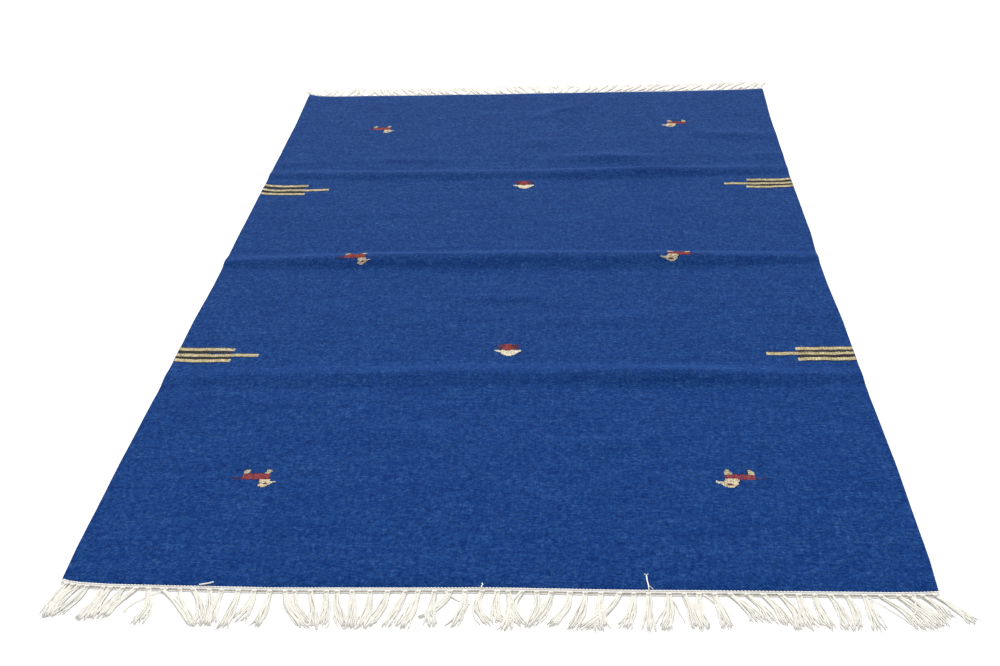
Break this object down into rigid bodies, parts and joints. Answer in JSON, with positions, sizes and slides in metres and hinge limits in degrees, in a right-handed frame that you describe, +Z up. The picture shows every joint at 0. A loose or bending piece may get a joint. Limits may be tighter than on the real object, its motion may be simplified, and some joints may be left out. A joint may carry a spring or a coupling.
{
  "type": "kilim rug",
  "caption": "Flat-woven wool kilim rug lying flat with three soft fold ridges, small woven motifs, white headings and knotted cotton fringes at both ends.",
  "frame": {"origin": "centre of the whole rug's box, fringes included, on the floor it lies on", "axes": "+Z up from the floor, +Y along the rug from its near end to its far end, +X across it to the right seen from the near end"},
  "size_m": [1.2598, 1.9376, 0.0145],
  "materials": {
    "blue_wool": "matt weft-faced wool weave, heathered blue, with small red, cream and gold motifs",
    "white_cotton": "matt off-white cotton yarn"
  },
  "bodies": {
    "root": {"rug_field": "blue_wool", "near_fringe": "white_cotton", "far_fringe": "white_cotton"}
  },
  "joints": []
}
